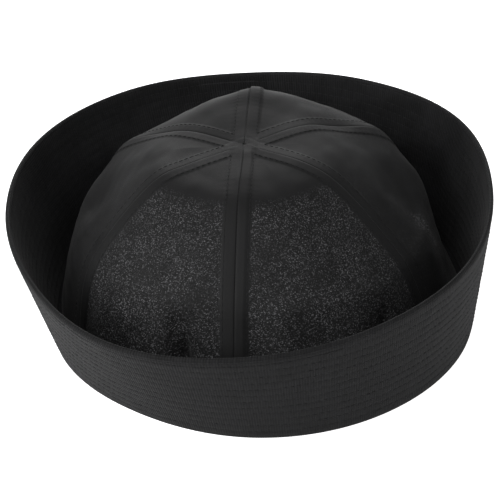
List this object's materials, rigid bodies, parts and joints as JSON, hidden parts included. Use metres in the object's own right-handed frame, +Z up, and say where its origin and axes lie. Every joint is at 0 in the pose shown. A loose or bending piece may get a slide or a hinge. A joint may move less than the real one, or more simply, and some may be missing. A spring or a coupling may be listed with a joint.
{
  "type": "sailor cap",
  "caption": "Soft panelled round crown standing inside a stiff quilted brim that is turned up all round, open below for the head.",
  "frame": {"origin": "on the resting surface, under the middle of the rim's outline", "axes": "+Z up, the front of the cap towards -Y, the wearer's left towards +X"},
  "size_m": [0.2146, 0.2282, 0.0832],
  "materials": {
    "crown_cloth": "smooth black twill with a faint sheen",
    "brim_cloth": "matt black twill, stitched in close rows"
  },
  "bodies": {
    "root": {"brim": "brim_cloth", "crown_panel_1": "crown_cloth", "crown_panel_2": "crown_cloth", "crown_panel_3": "crown_cloth", "crown_panel_4": "crown_cloth", "crown_panel_5": "crown_cloth", "crown_panel_6": "crown_cloth"}
  },
  "joints": []
}
